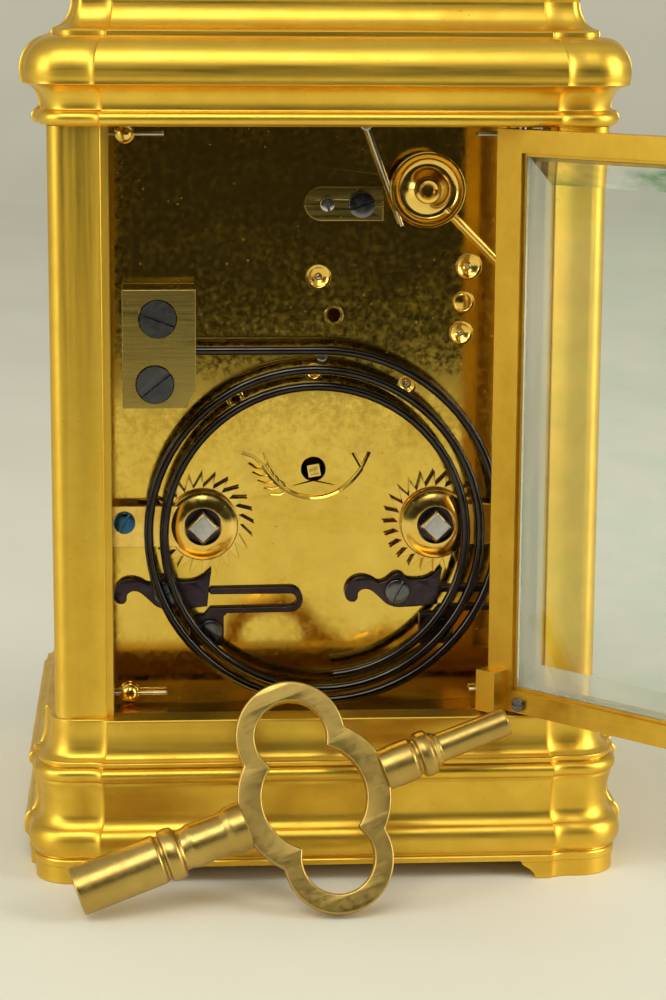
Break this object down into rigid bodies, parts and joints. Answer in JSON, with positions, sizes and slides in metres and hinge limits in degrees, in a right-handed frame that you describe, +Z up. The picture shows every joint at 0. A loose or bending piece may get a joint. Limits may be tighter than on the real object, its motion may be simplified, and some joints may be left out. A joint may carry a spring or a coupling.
{
  "type": "carriage clock",
  "caption": "Striking carriage clock with gilt gorge case, bevelled glasses, open rear door, coiled gong, folding handle and double-ended winding key.",
  "frame": {"origin": "on the table, under the middle of the case's base", "axes": "+Z up; the dial faces -Y and the rear door is on the +Y side; +X is to the right of someone who faces the dial"},
  "size_m": [0.1242, 0.1262, 0.1742],
  "materials": {
    "gilt_brass": "satin gilt",
    "plate_brass": "polished",
    "key_brass": "worn, brushed",
    "blued_steel": "blued, polished",
    "bright_steel": "polished",
    "bevelled_glass": "polished, bevelled",
    "dial_enamel": "gloss enamel"
  },
  "bodies": {
    "case": {"base_moulding": "gilt_brass", "case_floor": "gilt_brass", "column_front_left": "gilt_brass", "column_front_right": "gilt_brass", "column_rear_left": "gilt_brass", "column_rear_right": "gilt_brass", "cornice": "gilt_brass", "top_glass": "bevelled_glass", "side_glasses": "bevelled_glass", "front_glass": "bevelled_glass", "handle_posts": "gilt_brass", "door_pins": "bright_steel", "case_screws": "bright_steel", "dial_mask": "gilt_brass", "dial": "dial_enamel", "front_plate": "plate_brass", "back_plate": "plate_brass", "movement_pillars": "plate_brass", "taper_pins": "bright_steel", "gong_block": "plate_brass", "gong": "blued_steel", "gong_screws": "bright_steel", "time_winding_cock": "plate_brass", "strike_winding_cock": "plate_brass", "plate_screws": "bright_steel", "click_springs": "blued_steel", "hammer_cock": "plate_brass", "hammer_spring": "bright_steel", "platform": "plate_brass", "balance_cock": "plate_brass"},
    "handle": {"handle": "gilt_brass"},
    "door": {"door_frame": "gilt_brass", "door_glass": "bevelled_glass", "door_knob": "gilt_brass", "door_screw": "bright_steel"},
    "time_winder": {"time_winding_arbor": "plate_brass"},
    "strike_winder": {"strike_winding_arbor": "plate_brass"},
    "time_barrel": {"time_barrel": "plate_brass"},
    "strike_barrel": {"strike_barrel": "plate_brass"},
    "time_click": {"time_click": "blued_steel"},
    "strike_click": {"strike_click": "blued_steel"},
    "centre_arbor": {"centre_wheel": "plate_brass"},
    "third_arbor": {"third_wheel": "plate_brass"},
    "contrate_arbor": {"contrate_wheel": "plate_brass"},
    "escape_arbor": {"escape_wheel": "plate_brass"},
    "lever": {"pallet_lever": "bright_steel"},
    "balance": {"balance_wheel": "plate_brass", "balance_spring": "blued_steel"},
    "transfer": {"transfer_wheel": "plate_brass"},
    "minute_cannon": {"cannon_wheel": "plate_brass", "minute_hand": "blued_steel"},
    "minute_work": {"minute_wheel": "plate_brass"},
    "hour_pipe": {"hour_wheel": "plate_brass", "hour_hand": "blued_steel"},
    "pin_arbor": {"pin_wheel": "plate_brass"},
    "locking_arbor": {"locking_wheel": "plate_brass"},
    "fly_arbor": {"fly": "plate_brass"},
    "hammer": {"hammer": "plate_brass"},
    "repeat_button": {"repeat_button": "gilt_brass"},
    "key": {"winding_key": "key_brass"}
  },
  "joints": [
    {"name": "handle_fold", "type": "hinge", "parent": "case", "child": "handle", "pos_m": [0, 0, 0.1445], "axis": [1, 0, 0], "range_deg": [-88, 88]},
    {"name": "rear_door_hinge", "type": "hinge", "parent": "case", "child": "door", "pos_m": [-0.0293, 0.035, 0.0719], "axis": [0, 0, 1], "range_deg": [-133.5, 8]},
    {"name": "key_slide", "type": "slide", "parent": "case", "child": "key", "axis": [1, 0, 0], "range_m": [-0.0043, 0.0701]},
    {"name": "time_winding_turn", "type": "hinge", "parent": "case", "child": "time_winder", "pos_m": [0.0191, 0, 0.0525], "axis": [0, 1, 0], "continuous": true},
    {"name": "strike_winding_turn", "type": "hinge", "parent": "case", "child": "strike_winder", "pos_m": [-0.0188, 0, 0.0525], "axis": [0, 1, 0], "continuous": true},
    {"name": "time_barrel_turn", "type": "hinge", "parent": "case", "child": "time_barrel", "pos_m": [0.0191, 0, 0.0525], "axis": [0, 1, 0], "continuous": true},
    {"name": "strike_barrel_turn", "type": "hinge", "parent": "case", "child": "strike_barrel", "pos_m": [-0.0188, 0, 0.0525], "axis": [0, 1, 0], "continuous": true},
    {"name": "time_click_lift", "type": "hinge", "parent": "case", "child": "time_click", "pos_m": [0.0251, 0.0145, 0.041], "axis": [0, 1, 0], "range_deg": [-12, 0], "stiffness_Nm_per_rad": 0.002, "springref_deg": 14.32},
    {"name": "strike_click_lift", "type": "hinge", "parent": "case", "child": "strike_click", "pos_m": [-0.0128, 0.0145, 0.041], "axis": [0, 1, 0], "range_deg": [-12, 0], "stiffness_Nm_per_rad": 0.002, "springref_deg": 14.32},
    {"name": "centre_wheel_turn", "type": "hinge", "parent": "case", "child": "centre_arbor", "pos_m": [0.001, 0, 0.0612], "axis": [0, 1, 0], "continuous": true},
    {"name": "third_wheel_turn", "type": "hinge", "parent": "case", "child": "third_arbor", "pos_m": [0.001, 0, 0.0772], "axis": [0, 1, 0], "continuous": true},
    {"name": "contrate_wheel_turn", "type": "hinge", "parent": "case", "child": "contrate_arbor", "pos_m": [0.0003, 0, 0.0926], "axis": [0, 1, 0], "continuous": true},
    {"name": "escape_wheel_turn", "type": "hinge", "parent": "case", "child": "escape_arbor", "pos_m": [0.0003, 0.00082, 0.121], "axis": [0, 0, 1], "continuous": true},
    {"name": "pallet_lever_swing", "type": "hinge", "parent": "case", "child": "lever", "pos_m": [0.0066, 0.00082, 0.121], "axis": [0, 0, 1], "range_deg": [-5, 5]},
    {"name": "balance_swing", "type": "hinge", "parent": "case", "child": "balance", "pos_m": [0.0146, 0.00082, 0.1255], "axis": [0, 0, 1], "range_deg": [-135, 135], "stiffness_Nm_per_rad": 0.000008},
    {"name": "transfer_wheel_turn", "type": "hinge", "parent": "case", "child": "transfer", "pos_m": [0.00422, 0, 0.06742], "axis": [0, 1, 0], "continuous": true},
    {"name": "minute_hand_turn", "type": "hinge", "parent": "case", "child": "minute_cannon", "pos_m": [0, 0, 0.073], "axis": [0, 1, 0], "continuous": true},
    {"name": "minute_wheel_turn", "type": "hinge", "parent": "case", "child": "minute_work", "pos_m": [-0.006, 0, 0.073], "axis": [0, 1, 0], "continuous": true},
    {"name": "hour_hand_turn", "type": "hinge", "parent": "case", "child": "hour_pipe", "pos_m": [0, 0, 0.073], "axis": [0, 1, 0], "continuous": true},
    {"name": "pin_wheel_turn", "type": "hinge", "parent": "case", "child": "pin_arbor", "pos_m": [-0.0142, 0, 0.075], "axis": [0, 1, 0], "continuous": true},
    {"name": "locking_wheel_turn", "type": "hinge", "parent": "case", "child": "locking_arbor", "pos_m": [-0.0229, 0, 0.0835], "axis": [0, 1, 0], "continuous": true},
    {"name": "fly_turn", "type": "hinge", "parent": "case", "child": "fly_arbor", "pos_m": [-0.024, 0, 0.0943], "axis": [0, 1, 0], "continuous": true},
    {"name": "hammer_swing", "type": "hinge", "parent": "case", "child": "hammer", "pos_m": [-0.0166, 0.0185, 0.107], "axis": [0, 1, 0], "range_deg": [-1.8, 5], "stiffness_Nm_per_rad": 0.02},
    {"name": "repeat_button_press", "type": "slide", "parent": "case", "child": "repeat_button", "axis": [0, 1, 0], "range_m": [0, 0.0025], "stiffness_N_per_m": 60}
  ],
  "couplings": [
    {"joint": "time_barrel_turn", "follows": "centre_wheel_turn", "ratio": -0.15},
    {"joint": "third_wheel_turn", "follows": "centre_wheel_turn", "ratio": -8},
    {"joint": "contrate_wheel_turn", "follows": "centre_wheel_turn", "ratio": 60},
    {"joint": "escape_wheel_turn", "follows": "centre_wheel_turn", "ratio": 600},
    {"joint": "transfer_wheel_turn", "follows": "centre_wheel_turn", "ratio": -1},
    {"joint": "minute_hand_turn", "follows": "centre_wheel_turn", "ratio": 1},
    {"joint": "minute_wheel_turn", "follows": "centre_wheel_turn", "ratio": -0.33333},
    {"joint": "hour_hand_turn", "follows": "centre_wheel_turn", "ratio": 0.083333},
    {"joint": "strike_barrel_turn", "follows": "pin_wheel_turn", "ratio": -0.28571},
    {"joint": "locking_wheel_turn", "follows": "pin_wheel_turn", "ratio": -6},
    {"joint": "fly_turn", "follows": "pin_wheel_turn", "ratio": 48},
    {"joint": "key_slide", "follows": "rear_door_hinge", "m_per_rad": -0.03}
  ]
}
